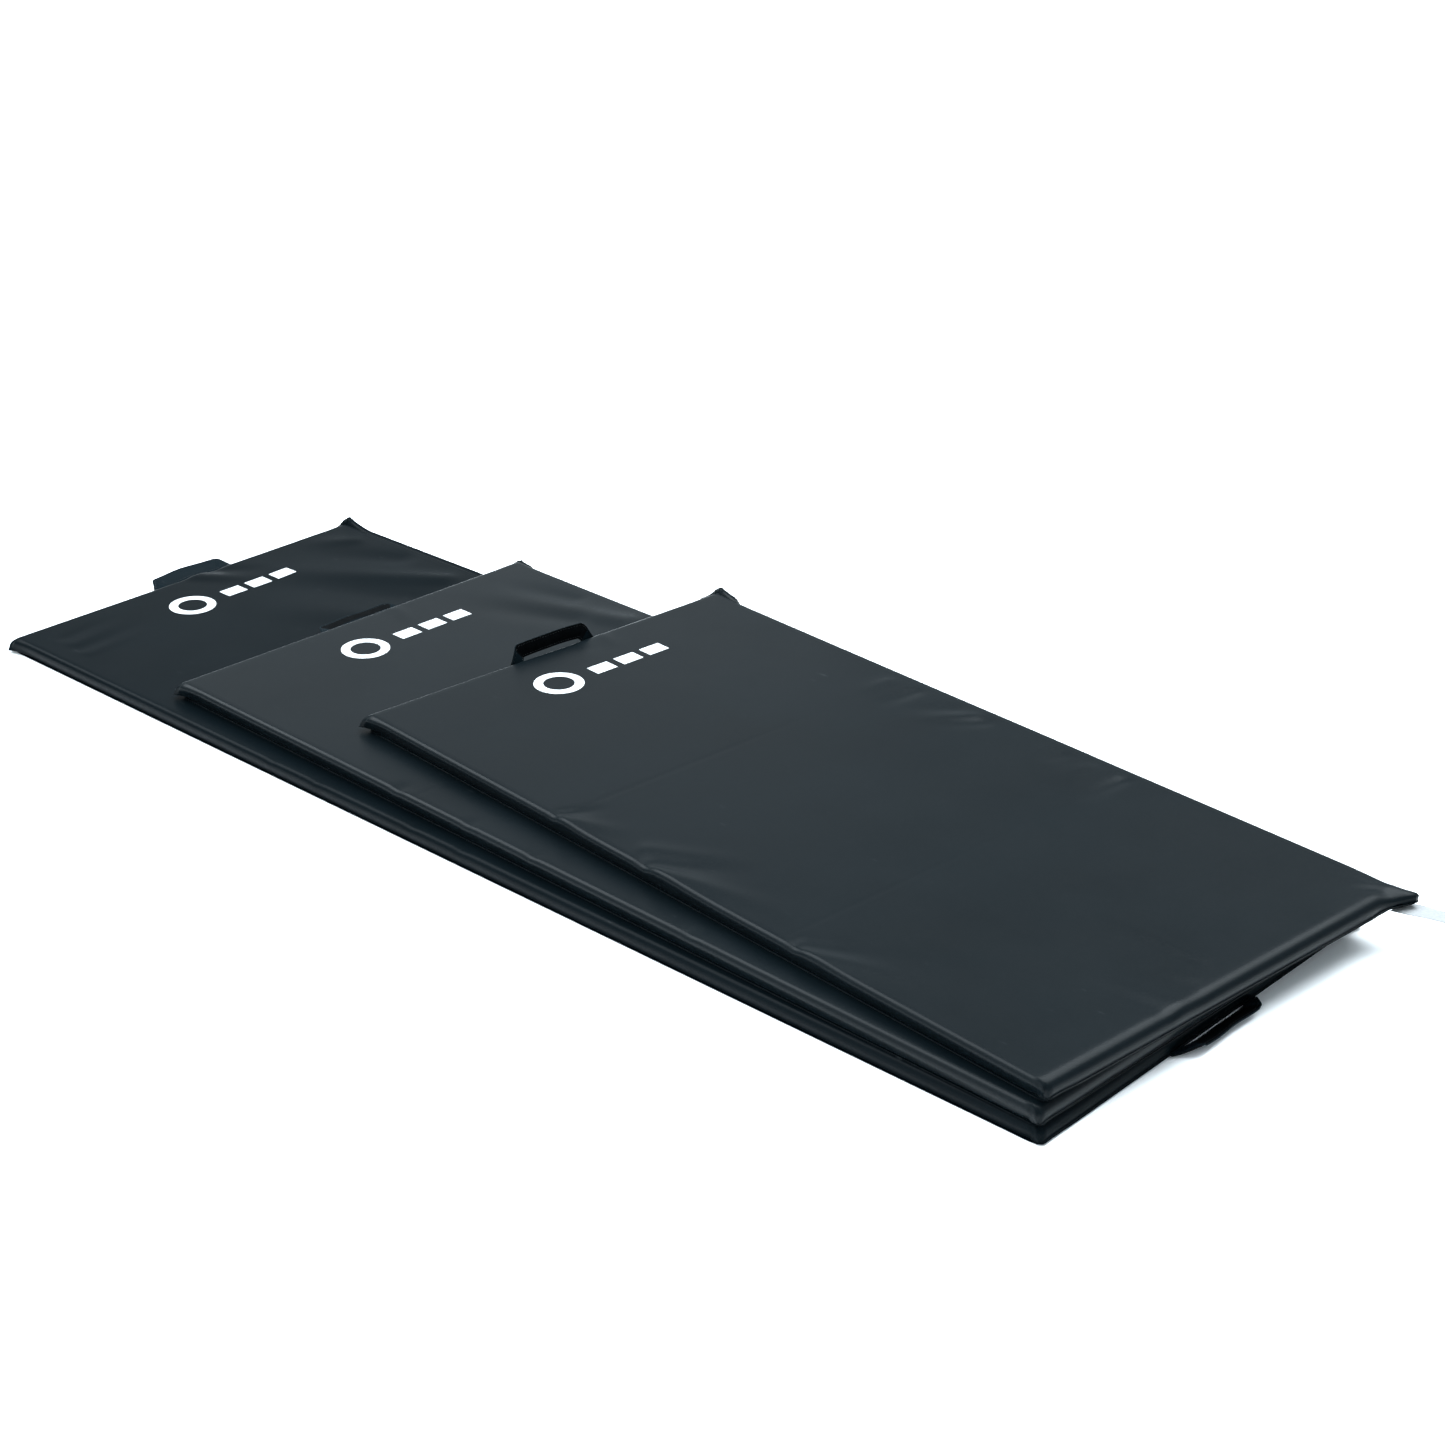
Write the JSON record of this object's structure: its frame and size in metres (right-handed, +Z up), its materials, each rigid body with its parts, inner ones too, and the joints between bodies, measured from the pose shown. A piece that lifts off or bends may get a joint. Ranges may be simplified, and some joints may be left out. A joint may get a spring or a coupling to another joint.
{
  "type": "stack of folding gym mats",
  "caption": "Folding gym mats in black vinyl, laid on each other with their right ends together and fanned, with webbing carrying straps and a short mat that folds in thirds.",
  "frame": {"origin": "middle of the stack's plan, on the surface that the longest mat lies on", "axes": "+X along the longest mat towards the ends that lie together, +Y towards the side that the shorter mats fan out to, +Z up"},
  "size_m": [1.9676, 0.739, 0.089],
  "materials": {
    "vinyl_black": "matte embossed vinyl cover cloth",
    "foam": "closed-cell foam",
    "webbing": "black strap of folded and stitched cover cloth",
    "print_white": "screen-printed white ink",
    "label_white": "blank satin label"
  },
  "bodies": {
    "long_mat": {"long_foam_right": "foam", "long_foam_centre": "foam", "long_foam_left": "foam", "long_top_skin": "vinyl_black", "long_base_skin": "vinyl_black", "long_seam_welt": "vinyl_black", "long_left_handle_tabs": "webbing", "long_right_handle_tabs": "webbing", "long_print_mark": "print_white"},
    "long_left_strap": {"long_left_handle": "webbing"},
    "long_right_strap": {"long_right_handle": "webbing"},
    "middle_mat": {"middle_foam_right": "foam", "middle_foam_centre": "foam", "middle_foam_left": "foam", "middle_top_skin": "vinyl_black", "middle_base_skin": "vinyl_black", "middle_seam_welt": "vinyl_black", "middle_left_handle_tabs": "webbing", "middle_print_mark": "print_white"},
    "middle_left_strap": {"middle_left_handle": "webbing"},
    "short_mat_right_panel": {"short_foam_right": "foam", "short_top_skin_right": "vinyl_black", "short_base_skin_right": "vinyl_black", "short_seam_welt_right": "vinyl_black", "short_care_label": "label_white"},
    "short_mat_centre_panel": {"short_foam_centre": "foam", "short_top_skin_centre": "vinyl_black", "short_base_skin_centre": "vinyl_black", "short_seam_welt_centre": "vinyl_black"},
    "short_mat_left_panel": {"short_foam_left": "foam", "short_top_skin_left": "vinyl_black", "short_base_skin_left": "vinyl_black", "short_seam_welt_left": "vinyl_black", "short_left_handle_tabs": "webbing", "short_print_mark": "print_white"},
    "short_left_strap": {"short_left_handle": "webbing"}
  },
  "joints": [
    {"name": "middle_mat_lift", "type": "slide", "parent": "long_mat", "child": "middle_mat", "axis": [0, 0, 1], "range_m": [0, 0.3]},
    {"name": "short_mat_lift", "type": "slide", "parent": "middle_mat", "child": "short_mat_right_panel", "axis": [0, 0, 1], "range_m": [0, 0.3]},
    {"name": "short_mat_fold_right", "type": "hinge", "parent": "short_mat_right_panel", "child": "short_mat_centre_panel", "pos_m": [0.50764, -0.01225, 0.0718], "axis": [0.0885, 0.9961, 0], "range_deg": [0, 180]},
    {"name": "short_mat_fold_left", "type": "hinge", "parent": "short_mat_centre_panel", "child": "short_mat_left_panel", "pos_m": [0.11784, 0.0224, 0.0477], "axis": [0.0885, 0.9961, 0], "range_deg": [-180, 0]},
    {"name": "long_left_strap_swing", "type": "hinge", "parent": "long_mat", "child": "long_left_strap", "pos_m": [-0.94817, -0.02811, 0.0032], "axis": [0, 1, 0], "range_deg": [-22, 64]},
    {"name": "long_right_strap_swing", "type": "hinge", "parent": "long_mat", "child": "long_right_strap", "pos_m": [0.87583, -0.04611, 0.0032], "axis": [0, -1, 0], "range_deg": [-14, 42]},
    {"name": "middle_left_strap_swing", "type": "hinge", "parent": "middle_mat", "child": "middle_left_strap", "pos_m": [-0.59751, 0.00835, 0.0272], "axis": [0.0283, 0.9996, 0], "range_deg": [-4, 82]},
    {"name": "short_left_strap_swing", "type": "hinge", "parent": "short_mat_left_panel", "child": "short_left_strap", "pos_m": [-0.27514, 0.06637, 0.0512], "axis": [0.0885, 0.9961, 0], "range_deg": [-82, 4]}
  ],
  "couplings": [
    {"joint": "short_mat_fold_left", "follows": "short_mat_fold_right", "ratio": -1}
  ]
}
